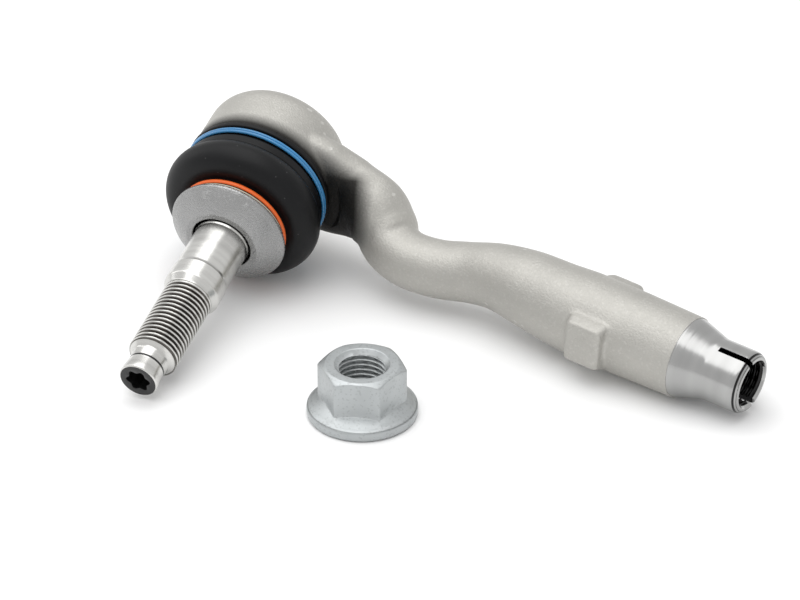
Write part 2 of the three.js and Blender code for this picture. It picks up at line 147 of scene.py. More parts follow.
BOOT_LIP = (2.4, 3.7, 21.5)  # start, end, radius
BLUE_RING = (5.4, 21.05, 0.45, 0.9)  # height, radius, radius of the wire, pitch of its two turns
ORANGE_RING = (20.9, 15.15, 0.75)  # height, radius, radius of the section
BULGE = (14.1, 17.5, 5.6)  # height and radius of the arc's centre, radius of the arc
BULGE_TURN = (-38, 90)  # degrees from which and to which the arc turns
BOOT_WALL = 1.9
BOOT_PIP_R = 22.6
BUSH_FRONT = 23.1
BUSH_R = 16.0

COLLAR_BACK = 23.4
COLLAR_R = 17.0
COLLAR_FACE = 29.5
COLLAR_SHOULDER = (15.9, 25.6)  # radius, height
COLLAR_CROWN = (10.6, 29.45)  # radius, height
COLLAR_DOME = 1.1
# Painted shade: inside this radius the collar is darkened almost to black.
COLLAR_SHADE_R = 8.78

COLLET_END = 157.5
CONE_START = 137.5
CONE_END = 146.0
CONE_R = 11.3
COLLET_R = 8.75
BORE_MOUTH_R = 6.95
BORE_DEPTH = 34.0
SLOT_START = 147.7
SLOT_WIDTH = 1.7
SLOT_LEAN = 15.0
SHANK_R = 11.95
SHANK_TAPER = 119.5
ARM_JOIN = 97.0
ARM_JOIN_R = 11.5
PAD_LENGTH = 11.0
PAD_HEIGHT = 12.4

NUT_FLATS = 21.0
NUT_HEIGHT = 15.5
NUT_TURN = 28.0
NUT_FLANGE_R = 14.95
NUT_FLANGE_EDGE = 3.1
NUT_FLANGE_SLOPE = 2.0
NUT_MOUTH_R = 7.5
NUT_MOUTH_DEPTH = 1.3

# Pips on the collar as (angle, radius), and on the boot as (angle, height along the stud).
PIPS = [(55.0, 15.3), (102.0, 15.3)]
BOOT_PIPS = [(150.0, 12.6), (20.0, 16.2)]

# The painted shade in the pocket on the arm beside the boot: where it starts and where it is full, by height
# along the stud's axis and by distance from it.
SHADE_POCKET_HEIGHTS = (-2.5, 1.5)
SHADE_POCKET_RADII = (36.5, 30.5)

# Stations of the arm's centre line, each with its half sizes along the stud's axis and across it.
ARM = [
    ((-0.9, 3.9, 0.9), (5.8, 17.5)),
    ((10.2, 7.0, -0.5), (6.0, 17.0)),
    ((18.2, 9.6, -2.9), (6.8, 15.6)),
    ((25.4, 10.6, -4.2), (7.5, 13.2)),
    ((32.3, 9.3, -5.2), (8.0, 11.7)),
    ((37.3, 7.9, -8.2), (8.2, 9.4)),
    ((41.0, 5.7, -11.2), (8.1, 8.3)),
    ((47.5, 4.2, -13.0), (7.9, 8.0)),
    ((57.0, 5.5, -13.7), (8.0, 8.2)),
    ((66.0, 7.9, -12.9), (8.3, 8.6)),
    ((75.3, 8.8, -11.6), (9.2, 9.6)),
    ((85.0, 8.5, -11.5), (10.6, 10.7)),
]

STUD = Axis(mount_place("ball_centre"), JOINTS["stud_tilt_a"]["axis"], mount_axis("ball_centre"))
PAD_FLATS = (mount_place("wrench_pad_near"), mount_place("wrench_pad_far"))
SHANK_LINE = mount_place("collet_end") * (1, 0, 1) + (0, (PAD_FLATS[0][1] + PAD_FLATS[1][1]) / 2, 0)
SHANK = Axis(
    SHANK_LINE - COLLET_END * mount_axis("collet_end"), mount_axis("wrench_pad_far"), mount_axis("collet_end")
)
PAD_REACH = (PAD_FLATS[1][1] - PAD_FLATS[0][1]) / 2
FLOOR = CAD_BOX[0][2]
NUT_LOW, NUT_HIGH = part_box("flange_nut")
NUT = Axis(
    np.array([(NUT_LOW.x + NUT_HIGH.x) / 2, (NUT_LOW.y + NUT_HIGH.y) / 2, NUT_LOW.z]) / MM,
    (np.cos(np.radians(NUT_TURN)), np.sin(np.radians(NUT_TURN)), 0),
    (0, 0, 1),
)


# ---- What a user would change ----


class TieRodLooks(bpy.types.PropertyGroup):
    """Colours and lights of the tie rod end."""

    forged_colour: FloatVectorProperty(
        name="Forged aluminium", description="Colour of the shot-blasted housing", subtype="COLOR", size=3,
        min=0, max=1, default=(0.48, 0.47, 0.44),
    )
    boot_colour: FloatVectorProperty(
        name="Boot", description="Colour of the rubber boot", subtype="COLOR", size=3,
        min=0, max=1, default=(0.0028, 0.0030, 0.0036),
    )
    large_ring_colour: FloatVectorProperty(
        name="Large clamp ring", description="Coating of the wire ring at the boot's large end",
        subtype="COLOR", size=3, min=0, max=1, default=(0.03, 0.19, 0.40),
    )
    small_ring_colour: FloatVectorProperty(
        name="Small clamp ring", description="Colour of the elastic ring at the boot's small end",
        subtype="COLOR", size=3, min=0, max=1, default=(0.85, 0.14, 0.02),
    )
    key_power: FloatProperty(
        name="Overhead softbox", description="Power of the large overhead light", unit="POWER",
        min=0, default=7.5,
    )
    room_light: FloatProperty(
        name="Room light", description="Brightness of the light from all round", min=0, default=0.85
    )


class TieRodSizes(bpy.types.PropertyGroup):
    """Sizes of the fine surface, which the frame doesn't set."""

    skin_step: FloatProperty(
        name="Skin step", description="Cell size of the forging's blended skin", unit="LENGTH",
        min=0.0002, max=0.002, default=0.00045,
    )
    thread_depth: FloatProperty(
        name="Thread depth", description="Depth of the threads", unit="LENGTH",
        min=0.0002, max=0.0012, default=0.00085,
    )


def looks():
    return bpy.context.scene.tie_rod_looks


def sizes():
    return bpy.context.scene.tie_rod_sizes


# ---- Surfaces worked out on grids ----


def turn_angles(count):
    """Angles of count equal steps round a circle."""
    return np.linspace(0, 2 * np.pi, count, endpoint=False)


def spin(profile, count, radial=0.0):
    """Point (i, j) is profile point i turned by angle j: (r cos a, r sin a, h), with radial added to r."""
    profile = np.array(profile, float)
    angles = turn_angles(count)[None, :]
    r = profile[:, 0, None] + radial + np.zeros(count)
    return np.stack([r * np.cos(angles), r * np.sin(angles), profile[:, 1, None] + 0 * r], -1)


def arc(centre, radius, start, end, steps):
    """Points centre + radius * (cos, sin) for angles from start to end in degrees."""
    angles = np.radians(np.linspace(start, end, steps + 1))
    return np.stack([centre[0] + radius * np.cos(angles), centre[1] + radius * np.sin(angles)], -1)


def eased(corners):
    """A profile whose corners (r, h, ease) are rounded: each is a quadratic curve between the points that lie
    ease before and after it, and a point just beyond each end of the curve keeps the straight parts flat."""
    corners = np.array(corners, float)
    spots = corners[:, :2]
    profile = [spots[:1]]
    for here, before, after, ease in zip(spots[1:-1], spots[:-2], spots[2:], corners[1:-1, 2]):
        if ease == 0:
            profile.append(here[None])
            continue
        back = (before - here) / np.linalg.norm(before - here)
        ahead = (after - here) / np.linalg.norm(after - here)
        share = np.linspace(0, 1, 6)[:, None]
        curve = (1 - share) ** 2 * (here + back * ease) + 2 * share * (1 - share) * here
        curve = curve + share**2 * (here + ahead * ease)
        profile.append(np.vstack([here + back * ease * 1.3, curve, here + ahead * ease * 1.3]))
    profile.append(spots[-1:])
    return np.vstack(profile)


def thread_ridge(heights, angles, start, end):
    """The ridge, 0 at the root and 1 at the crest, and its fade. The ridge is a trapezium wave of height over
    pitch less the turn's share, and the fade runs over one pitch at both ends of the thread."""
    phase = (heights / THREAD_PITCH - angles / (2 * np.pi)) % 1
    ridge = np.clip((np.abs(2 * phase - 1) - 0.16) / 0.66, 0, 1)
    fade = np.clip((heights - start) / THREAD_PITCH, 0, 1) * np.clip((end - heights) / THREAD_PITCH, 0, 1)
    return ridge, fade


def thread_heights(start, end):
    """Heights of a thread's rows from start towards end."""
    return np.arange(start, end, np.sign(end - start) * THREAD_PITCH / THREAD_ROWS)


def squared(angles, power):
    """Cos and sin of the angles, each raised to a power: 1 gives a circle and near 0 a square."""
    return [np.sign(wave) * np.abs(wave) ** power for wave in (np.cos(angles), np.sin(angles))]


def skin(points, looped=False):
    """Corners and faces of a grid whose columns go round and whose rows close up or end in two poles."""
    rows, columns = points.shape[:2]
    corners = points.reshape(-1, 3)
    index = np.arange(rows * columns).reshape(rows, columns)
    lower = index if looped else index[:-1]
    upper = np.roll(index, -1, 0) if looped else index[1:]
    faces = np.stack([lower, np.roll(lower, -1, 1), np.roll(upper, -1, 1), upper], -1).reshape(-1, 4).tolist()
    if not looped:
        poles = np.stack([points[0].mean(0), points[-1].mean(0)])
        first = np.full(columns, rows * columns)
        faces += np.stack([first, np.roll(index[0], -1), index[0]], -1).tolist()
        faces += np.stack([first + 1, index[-1], np.roll(index[-1], -1)], -1).tolist()
        corners = np.vstack([corners, poles])
    return corners, faces


def smooth_line(points, count):
    """A centripetal Catmull-Rom line through the points: each stretch is a cubic whose end slopes weigh the
    neighbouring chords by the square root of their lengths."""
    points = np.array(points, float)
    ends = np.vstack([2 * points[0] - points[1], points, 2 * points[-1] - points[-2]])
    chords = np.sqrt(np.linalg.norm(np.diff(ends, axis=0), axis=1))
    place = np.linspace(0, len(points) - 1, count)
    first = np.minimum(place.astype(int), len(points) - 2)
    share = (place - first)[:, None]
    p0, p1, p2, p3 = (ends[first + step] for step in range(4))
    d0, d1, d2 = (chords[first + step][:, None] for step in range(3))
    slope1 = ((p1 - p0) / d0 - (p2 - p0) / (d0 + d1) + (p2 - p1) / d1) * d1
    slope2 = ((p2 - p1) / d1 - (p3 - p1) / (d1 + d2) + (p3 - p2) / d2) * d1
    square, cube = share**2, share**3
    return (
        p1 * (2 * cube - 3 * square + 1) + slope1 * (cube - 2 * square + share)
        + p2 * (3 * square - 2 * cube) + slope2 * (cube - square)
    )


def new_object(name, *shells):
    """One mesh object, in metres, of one or more closed shells given in millimetres."""
    corners, faces, offset = [], [], 0
    for shell_corners, shell_faces in shells:
        corners.append(shell_corners)
        faces += [[corner + offset for corner in face] for face in shell_faces]
        offset += len(shell_corners)
    mesh = bpy.data.meshes.new(name)
    mesh.from_pydata(np.vstack(corners) * MM, [], faces)
    mesh.update()
    piece = bpy.data.objects.new(name, mesh)
    bpy.context.scene.collection.objects.link(piece)
    return piece


def shape_with(piece, kind, **settings):
    """Applies one modifier to the object's mesh."""
    modifier = piece.modifiers.new(kind.title(), kind)
    for key, value in settings.items():
        setattr(modifier, key, value)
    graph = bpy.context.evaluated_depsgraph_get()
    shaped = bpy.data.meshes.new_from_object(piece.evaluated_get(graph))
    piece.modifiers.clear()
    old = piece.data
    piece.data = shaped
    bpy.data.meshes.remove(old)
    shaped.name = piece.name


def cut(piece, *tools):
    """Takes each tool out of the piece and deletes the tool."""
    for tool in tools:
        shape_with(piece, "BOOLEAN", operation="DIFFERENCE", object=tool, solver="MANIFOLD")
        mesh = tool.data
        bpy.data.objects.remove(tool)
        bpy.data.meshes.remove(mesh)
    if not len(piece.data.polygons):
        raise RuntimeError(f"{piece.name} was cut away")


def finish_piece(piece, material, body, node, sharp=40):
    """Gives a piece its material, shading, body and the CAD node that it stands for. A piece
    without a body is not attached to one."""
    piece.data.materials.clear()
    piece.data.materials.append(material)
    piece.data.shade_smooth()
    piece.data.set_sharp_from_angle(angle=np.radians(sharp))
    if body is not None:
        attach(piece, body)
    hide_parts(node)
    return piece


# ---- Shared node groups ----


def wired(tree, kind, inputs=None, **settings):
    """A new node with its settings and its inputs, which are values or other nodes' outputs."""
    made = tree.nodes.new(kind)
    for key, value in settings.items():
        setattr(made, key, value)
    for key, value in (inputs or {}).items():
        if isinstance(value, bpy.types.NodeSocket):
            tree.links.new(value, made.inputs[key])
        else:
            made.inputs[key].default_value = value
    return made


def sum_up(tree, operation, *values, clamp=False):
    """The result of a Math node on values or outputs."""
    inputs = dict(enumerate(values))
    return wired(tree, "ShaderNodeMath", inputs, operation=operation, use_clamp=clamp).outputs[0]


def new_group(name, inputs, outputs):
    """A node group with typed sockets, given as (name, type, default), and its input and output nodes."""
    tree = bpy.data.node_groups.new(name, "ShaderNodeTree")
    for label, kind, default in inputs:
        socket = tree.interface.new_socket(name=label, in_out="INPUT", socket_type=kind)
        socket.default_value = default
    for label, kind in outputs:
        tree.interface.new_socket(name=label, in_out="OUTPUT", socket_type=kind)
    return tree, tree.nodes.new("NodeGroupInput").outputs, tree.nodes.new("NodeGroupOutput").inputs


def grain_group():
    """Blasted or moulded grain: fine pits, broad tone changes and sparse bright specks, all from 0 to 1."""
    name = "Grain"
    if name in bpy.data.node_groups:
        return bpy.data.node_groups[name]
    tree, given, out = new_group(
        name,
        [("Vector", "NodeSocketVector", (0, 0, 0)), ("Grains per metre", "NodeSocketFloat", 1500.0)],
        [("Pits", "NodeSocketFloat"), ("Tone", "NodeSocketFloat"), ("Specks", "NodeSocketFloat")],
    )
    fine_inputs = {"Vector": given[0], "Scale": given[1], "Detail": 3.0, "Roughness": 0.6}
    fine = wired(tree, "ShaderNodeTexNoise", fine_inputs)
    coarse_scale = sum_up(tree, "MULTIPLY", given[1], 0.05)
    broad = wired(tree, "ShaderNodeTexNoise", {"Vector": given[0], "Scale": coarse_scale, "Detail": 4.0})
    cells = wired(tree, "ShaderNodeTexVoronoi", {"Vector": given[0], "Scale": given[1]}, feature="F1")
    picked = wired(tree, "ShaderNodeSeparateColor", {"Color": cells.outputs["Color"]})
    bright = sum_up(tree, "GREATER_THAN", picked.outputs[0], 0.9)
    tree.links.new(fine.outputs[0], out[0])
    tree.links.new(broad.outputs[0], out[1])
    tree.links.new(bright, out[2])
    return tree


def round_axis_group():
    """Where a point lies about an axis: its height along it and its distance from it, both in metres."""
    name = "Round Axis"
    if name in bpy.data.node_groups:
        return bpy.data.node_groups[name]
    tree, given, out = new_group(
        name,
        [("Origin", "NodeSocketVector", (0, 0, 0)), ("Axis", "NodeSocketVector", (0, 0, 1))],
        [("Height", "NodeSocketFloat"), ("Radius", "NodeSocketFloat")],
    )
    point = wired(tree, "ShaderNodeTexCoord").outputs["Object"]
    arm = wired(tree, "ShaderNodeVectorMath", {0: point, 1: given[0]}, operation="SUBTRACT").outputs[0]
    pair = {0: arm, 1: given[1]}
    height = wired(tree, "ShaderNodeVectorMath", pair, operation="DOT_PRODUCT").outputs["Value"]
    across = wired(tree, "ShaderNodeVectorMath", pair, operation="CROSS_PRODUCT").outputs[0]
    radius = wired(tree, "ShaderNodeVectorMath", {0: across}, operation="LENGTH").outputs["Value"]
    tree.links.new(height, out[0])
    tree.links.new(radius, out[1])
    return tree


def turning_marks_group():
    """Fine uneven lines left by turning: noise that changes only with height and radius."""
    name = "Turning Marks"
    if name in bpy.data.node_groups:
        return bpy.data.node_groups[name]
    tree, given, out = new_group(
        name,
        [
            ("Height", "NodeSocketFloat", 0.0),
            ("Radius", "NodeSocketFloat", 0.0),
            ("Lines per metre", "NodeSocketFloat", 4000.0),
        ],
        [("Lines", "NodeSocketFloat"), ("Bands", "NodeSocketFloat")],
    )
    spot = wired(tree, "ShaderNodeCombineXYZ", {"X": given[0], "Y": given[1]}).outputs[0]
    lines = wired(tree, "ShaderNodeTexNoise", {"Vector": spot, "Scale": given[2], "Detail": 2.0})
    band_scale = sum_up(tree, "MULTIPLY", given[2], 0.12)
    bands = wired(tree, "ShaderNodeTexNoise", {"Vector": spot, "Scale": band_scale, "Detail": 1.0})
    tree.links.new(lines.outputs[0], out[0])
    tree.links.new(bands.outputs[0], out[1])
    return tree


def edge_wear_group():
    """A mask that is 1 on raised edges and 0 elsewhere, broken up by noise."""
    name = "Edge Wear"
    if name in bpy.data.node_groups:
        return bpy.data.node_groups[name]
    tree, given, out = new_group(
        name,
        [("Low", "NodeSocketFloat", 0.52), ("High", "NodeSocketFloat", 0.62)],
        [("Mask", "NodeSocketFloat")],
    )
    edges = wired(tree, "ShaderNodeNewGeometry").outputs["Pointiness"]
    point = wired(tree, "ShaderNodeTexCoord").outputs["Object"]
    rough = wired(tree, "ShaderNodeTexNoise", {"Vector": point, "Scale": 700.0, "Detail": 3.0}).outputs[0]
    shift = sum_up(tree, "MULTIPLY_ADD", rough, 0.08, -0.04)
    mask = wired(tree, "ShaderNodeMapRange", {0: sum_up(tree, "ADD", edges, shift), 1: given[0], 2: given[1]})
    tree.links.new(mask.outputs[0], out[0])
    return tree


def placed(tree, group, inputs):
    """The outputs of a shared group placed in a material with its own values."""
    return wired(tree, "ShaderNodeGroup", inputs, node_tree=group).outputs


# ---- Materials ----


def new_material(name, **constants):
    """An empty material with a Principled shader, whose constants are set on its own sockets."""
    made = bpy.data.materials.new(name)
    made.use_nodes = True
    tree = made.node_tree
    shader = tree.nodes["Principled BSDF"]
    for key, value in constants.items():
        shader.inputs[key.replace("_", " ")].default_value = value
    return made, tree, shader


def tone(tree, factor, low, high):
    """A colour between low and high by a 0 to 1 factor."""
    return wired(
        tree, "ShaderNodeMix", {0: factor, 6: (*low, 1), 7: (*high, 1)}, data_type="RGBA"
    ).outputs[2]


def over(tree, factor, under, colour):
    """A colour laid over an output by a 0 to 1 factor."""
    return wired(tree, "ShaderNodeMix", {0: factor, 6: under, 7: (*colour, 1)}, data_type="RGBA").outputs[2]


def times(tree, *values):
    """The product of two values or outputs."""
    return sum_up(tree, "MULTIPLY", *values)


def spread(tree, value, low, high):
    """A 0 to 1 value stretched between two numbers."""
    return wired(tree, "ShaderNodeMapRange", {0: value, 3: low, 4: high}).outputs[0]


def bump(tree, height, depth, strength=1.0, normal=None):
    """A bump of that depth in metres."""
    inputs = {"Height": height, "Distance": depth, "Strength": strength}
    if normal is not None:
        inputs["Normal"] = normal
    return wired(tree, "ShaderNodeBump", inputs).outputs[0]


def shade(colour, factor):
    return tuple(min(1.0, channel * factor) for channel in colour)


def object_point(tree):
    return wired(tree, "ShaderNodeTexCoord").outputs["Object"]


def grained(tree, grains):
    """The grain's outputs on the piece's own points."""
    return placed(tree, grain_group(), {0: object_point(tree), 1: grains})


def round_axis(tree, axis):
    """Height along one of the frame's axes and distance from it."""
    return placed(tree, round_axis_group(), {0: axis.at(0), 1: tuple(axis.along)})


def connect(tree, shader, colour, roughness, normal):
    """Links a colour, a roughness and a normal to the shader."""
    for name, output in (("Base Color", colour), ("Roughness", roughness), ("Normal", normal)):
        tree.links.new(output, shader.inputs[name])


def forged_material():
    """Shot-blasted forged aluminium: matte, with a fine pitted grain, pale specks, slow changes of tone and
    painted shade, near black, in the pocket on the face beside the boot."""
    made, tree, shader = new_material("Forged aluminium", Metallic=0.85)
    colour = tuple(looks().forged_colour)
    grain = grained(tree, 1900.0)
    wear = placed(tree, edge_wear_group(), {0: 0.53, 1: 0.60})
    base = tone(tree, grain[1], shade(colour, 0.90), shade(colour, 1.08))
    bare = (0.8, 0.79, 0.76)
    pitted = over(tree, spread(tree, grain[0], 0.0, 0.28), base, shade(colour, 0.62))
    specked = over(tree, times(tree, grain[2], 0.10), pitted, bare)
    worn = over(tree, times(tree, wear[0], 0.35), specked, bare)
    # Painted shade: the pocket beside the boot is darkened almost to black by height along the stud and distance
    # from it.
    about = round_axis(tree, STUD)
    reach = [
        wired(tree, "ShaderNodeMapRange", {0: place, 1: start * MM, 2: full * MM}).outputs[0]
        for place, (start, full) in zip(about, (SHADE_POCKET_HEIGHTS, SHADE_POCKET_RADII))
    ]
    pocket_shaded = over(tree, times(tree, times(tree, *reach), 0.96), worn, (0.012, 0.011, 0.010))
    coarse = bump(tree, grain[1], 0.0003, 0.25)
    fine = bump(tree, grain[0], 0.0002, 0.9, coarse)
    connect(tree, shader, pocket_shaded, spread(tree, grain[0], 0.44, 0.62), fine)
    return made


def turned_material(name, axis, colour, roughness, lines=4000.0, depth=0.000012):
    """Turned metal: fine lines round an axis, with faint bands and handling marks in its roughness."""
    made, tree, shader = new_material(name, Metallic=1.0)
    about = round_axis(tree, axis)
    marks = placed(tree, turning_marks_group(), {0: about[0], 1: about[1], 2: lines})
    grain = grained(tree, 2500.0)
    base = tone(tree, marks[1], shade(colour, 0.72), shade(colour, 1.22))
    mixed = sum_up(tree, "ADD", times(tree, marks[0], 0.6), times(tree, grain[1], 0.4))
    rough = spread(tree, mixed, roughness * 0.75, roughness * 1.3)
    connect(tree, shader, base, rough, bump(tree, marks[0], depth, 0.8))
    return made, tree, shader, about, base


def stud_material():
    """Bright turned steel with painted shade in the thread's roots, and a black-painted end face."""
    made, tree, shader, about, base = turned_material("Turned stud steel", STUD, (0.62, 0.615, 0.595), 0.24)
    inside = sum_up(tree, "LESS_THAN", about[1], (PILOT_R - 0.35) * MM)
    at_end = sum_up(tree, "GREATER_THAN", about[0], (STUD_END - STAR_DEPTH - 1) * MM)
    painted = times(tree, inside, at_end)
    # Painted shade: the thread's roots between its start and end are darkened.
    past = sum_up(tree, "GREATER_THAN", about[0], STUD_THREAD[0] * MM)
    before = sum_up(tree, "LESS_THAN", about[0], STUD_THREAD[1] * MM)
    deep = sum_up(tree, "LESS_THAN", about[1], (THREAD_R - 0.2) * MM)
    root = times(tree, times(tree, past, before), deep)
    root_shaded = over(tree, times(tree, root, 0.92), base, (0.07, 0.064, 0.055))
    final = over(tree, painted, root_shaded, (0.008, 0.008, 0.008))
    tree.links.new(final, shader.inputs["Base Color"])
    tree.links.new(sum_up(tree, "SUBTRACT", 1.0, painted), shader.inputs["Metallic"])
    return made


def collet_material():
    """Machined aluminium of the cone and the slit collet, with painted shade, near black, in its bore and slots.
    """
    made, tree, shader, about, base = turned_material(
        "Machined aluminium", SHANK, (0.40, 0.40, 0.395), 0.22, 1500.0, 0.00005
    )
    # Painted shade: the bore and the slots' walls, inside the outer surface and short of the end, are darkened
    # almost to black.
    inner = sum_up(tree, "LESS_THAN", about[1], (COLLET_R - 0.2) * MM)
    behind = sum_up(tree, "LESS_THAN", about[0], (COLLET_END - 0.7) * MM)
    bore_shaded = over(tree, times(tree, inner, behind), base, (0.03, 0.03, 0.03))
    tree.links.new(bore_shaded, shader.inputs["Base Color"])
    return made


def cover_material():
    """Pressed steel cover under the rolled rim."""
    return turned_material("Pressed steel", STUD, (0.42, 0.42, 0.41), 0.32, 1500.0)[0]


def collar_material():
    """Satin steel collar: fine orange-peel grain over a dull grey, with painted shade, near black, in the ring of
    its bore and inner lip beside the stud.
    """
    made, tree, shader = new_material("Satin steel", Metallic=0.95)
    grain = grained(tree, 1700.0)
    about = round_axis(tree, STUD)
    base = tone(tree, grain[1], (0.24, 0.24, 0.24), (0.40, 0.40, 0.398))
    # Painted shade: the collar's bore and inner lip beside the stud are darkened almost to black.
    ring = sum_up(tree, "LESS_THAN", about[1], COLLAR_SHADE_R * MM)
    gap_shaded = over(tree, ring, base, (0.02, 0.02, 0.02))
    connect(tree, shader, gap_shaded, spread(tree, grain[0], 0.20, 0.34), bump(tree, grain[0], 0.00022, 0.9))
    return made


def nut_material():
    """Zinc plate: pale, slightly rough, with darker specks and worn edges."""
    made, tree, shader = new_material("Zinc plate", Metallic=0.85)
    grain = grained(tree, 2200.0)
    wear = placed(tree, edge_wear_group(), {0: 0.53, 1: 0.60})
    base = tone(tree, grain[1], (0.37, 0.388, 0.392), (0.50, 0.523, 0.528))
    specked = over(tree, times(tree, grain[2], 0.34), base, (0.26, 0.27, 0.27))
    worn = over(tree, times(tree, wear[0], 0.5), specked, (0.42, 0.42, 0.41))
    connect(tree, shader, worn, spread(tree, grain[0], 0.30, 0.48), bump(tree, grain[0], 0.00008, 0.8))
    return made


def rubber_material():
    """Moulded rubber: near black, satin, with a faint bloom and dust specks."""
    made, tree, shader = new_material("Moulded rubber", Metallic=0.0, Specular_IOR_Level=0.22)
    colour = tuple(looks().boot_colour)
    grain = grained(tree, 1800.0)
    base = tone(tree, grain[1], shade(colour, 0.7), shade(colour, 1.7))
    dust = wired(tree, "ShaderNodeTexVoronoi", {"Vector": object_point(tree), "Scale": 420.0}, feature="F1")
    fleck = sum_up(tree, "LESS_THAN", dust.outputs["Distance"], 0.075)
    dusty = over(tree, times(tree, fleck, 0.10), base, (0.40, 0.40, 0.40))
    connect(tree, shader, dusty, spread(tree, grain[1], 0.36, 0.55), bump(tree, grain[0], 0.00005, 0.6))
    return made


def coated_wire_material():
    """Blue coating on round wire, with slow changes of tone."""
    made, tree, shader = new_material("Blue coated wire", Metallic=0.0, Coat_Weight=0.4, Coat_Roughness=0.15)
    colour = tuple(looks().large_ring_colour)
    grain = grained(tree, 1200.0)
    base = tone(tree, grain[1], shade(colour, 0.75), shade(colour, 1.35))
    connect(tree, shader, base, spread(tree, grain[0], 0.20, 0.34), bump(tree, grain[0], 0.00003, 0.6))
    return made


def elastic_ring_material():
    """Orange elastic ring: matte, with a faint grain."""
    made, tree, shader = new_material("Orange elastic", Metallic=0.0)
    colour = tuple(looks().small_ring_colour)
    grain = grained(tree, 1500.0)
    base = tone(tree, grain[1], shade(colour, 0.85), shade(colour, 1.1))
    connect(tree, shader, base, spread(tree, grain[0], 0.38, 0.55), bump(tree, grain[0], 0.00004, 0.6))
    return made


def moulded_material(name, colour):
    """Plain moulded plastic with a faint flow grain."""
    made, tree, shader = new_material(name, Metallic=0.0)
    grain = grained(tree, 900.0)
    base = tone(tree, grain[1], shade(colour, 0.88), shade(colour, 1.08))
    connect(tree, shader, base, spread(tree, grain[0], 0.34, 0.5), bump(tree, grain[0], 0.00003, 0.5))
    return made


def floor_material():
    """Pale matte studio floor."""
    made, tree, shader = new_material("Studio floor", Metallic=0.0, Roughness=0.85, Specular_IOR_Level=0.2)
    point = object_point(tree)
    soft = wired(tree, "ShaderNodeTexNoise", {"Vector": point, "Scale": 3.0}).outputs[0]
    tree.links.new(tone(tree, soft, (0.90, 0.90, 0.90), (0.92, 0.92, 0.92)), shader.inputs["Base Color"])
    return made


# ---- Pieces of the housing ----


def arm_shell():
    """A closed tube: ring point (i, j) is station i plus its two half sizes times cos and sin of angle j, the
    first along the stud's axis made square to the line, the second across both. Its sections are ellipses,
    squarer towards the head."""
    join = SHANK.origin + SHANK.along * ARM_JOIN
    centres = smooth_line([at for at, half in ARM] + [join], 260)
    halves = smooth_line([(*half, 0) for at, half in ARM] + [(ARM_JOIN_R, ARM_JOIN_R, 0)], 260)
    tangents = np.gradient(centres, axis=0)
    tangents /= np.linalg.norm(tangents, axis=1)[:, None]
    along = STUD.along - (tangents @ STUD.along)[:, None] * tangents
    along /= np.linalg.norm(along, axis=1)[:, None]
    across = np.cross(tangents, along)
    angles = turn_angles(96)
    squareness = np.interp(np.linspace(0, 1, len(centres)), (0, 0.35, 0.8), (1.3, 1.2, 1.0))[:, None]
    cosines, sines = squared(angles, 1 / squareness)
    points = centres[:, None] + along[:, None] * (halves[:, :1] * cosines)[..., None]
    points = points + across[:, None] * (halves[:, 1:2] * sines)[..., None]
    return skin(points)


def head_shell():
    """The head turned about the stud's axis, solid, with its rounded back and its boot groove."""
    rounded = np.radians(np.linspace(0, 90, 16))
    back_r, length = 14.6, 7.4
    curve = np.stack([
        back_r + (HEAD_R - back_r) * np.sin(rounded), -HEAD_BACK + length - length * np.cos(rounded),
    ], -1)
    front = eased([
        (*curve[-1], 0), (HEAD_R, GROOVE[0] + 0.2, 0.4), (GROOVE[2], GROOVE[0] + 0.2, 0.3),
        (GROOVE[2], HEAD_FRONT, 0.3), (2.0, HEAD_FRONT, 0),
    ])
    return skin(STUD.put(spin(np.vstack([[(3.0, -HEAD_BACK)], curve, front[1:]]), 128)))


def shank_shell():
    """The round shank turned about its axis, from inside the arm to just past the start of the cone."""
    profile = [
        (3.0, ARM_JOIN - 4), (ARM_JOIN_R - 0.7, ARM_JOIN - 4), (ARM_JOIN_R, ARM_JOIN), (SHANK_R, 104.0),
        (SHANK_R, SHANK_TAPER), (CONE_R + 0.25, CONE_START - 1.2), (CONE_R + 0.1, CONE_START + 2),
        (3.0, CONE_START + 2),
    ]
    return skin(SHANK.put(spin(profile, 128)))


def pad_shell(flat):
    """A wrench pad: a rounded rectangle carried from the shank's axis out to the flat, and drawn in a little
    towards it."""
    side = np.sign(flat[1] - SHANK.origin[1])
    middle = (flat - SHANK.origin) @ SHANK.along
    reach = np.array([0.0, 11.0, PAD_REACH - 0.5, PAD_REACH - 0.1, PAD_REACH])[:, None]
    draw = np.array([1.18, 1.12, 1.0, 0.95, 0.87])[:, None]
    angles = turn_angles(64)[None] * side
    length, height = squared(angles, 0.22)
    points = np.stack([
        side * reach + 0 * angles, draw * height * PAD_HEIGHT / 2, middle + draw * length * PAD_LENGTH / 2,
    ], -1)
    return skin(SHANK.put(points))


def head_cavity():
    """What is taken out of the head: the rim's hole, the cover's recess, the seat's bore and the mouth."""
    seat_start, seat_end, seat_r = SEAT_BORE
    profile = [
        (2.0, -HEAD_BACK - 2), (ROLL_HOLE_R + 1.5, -HEAD_BACK - 0.6), (ROLL_HOLE_R, -HEAD_BACK + 0.9),
        (ROLL_HOLE_R, -COVER_BACK - GAP), (COVER_R, -COVER_BACK - GAP), (COVER_R, seat_start),
        (seat_r, seat_start), (seat_r, seat_end), (11.7, seat_end), (MOUTH_R, 8.8), (MOUTH_R, 10.5),
        (2.0, 10.5),
    ]
    return new_object("head_cavity", skin(STUD.put(spin(profile, 96))))


def boot_room():
    """The ring of room for the boot's large end, cut out of the arm where the arm passes beside it."""
    profile = [
        (GROOVE[2], GROOVE[0]), (24.4, GROOVE[0]), (25.4, 3.0), (25.4, 10.5), (19.2, 10.5),
        (19.2, GROOVE[1] + 0.2),
    ]
    return new_object("boot_room", skin(STUD.put(spin(profile, 96)), looped=True))


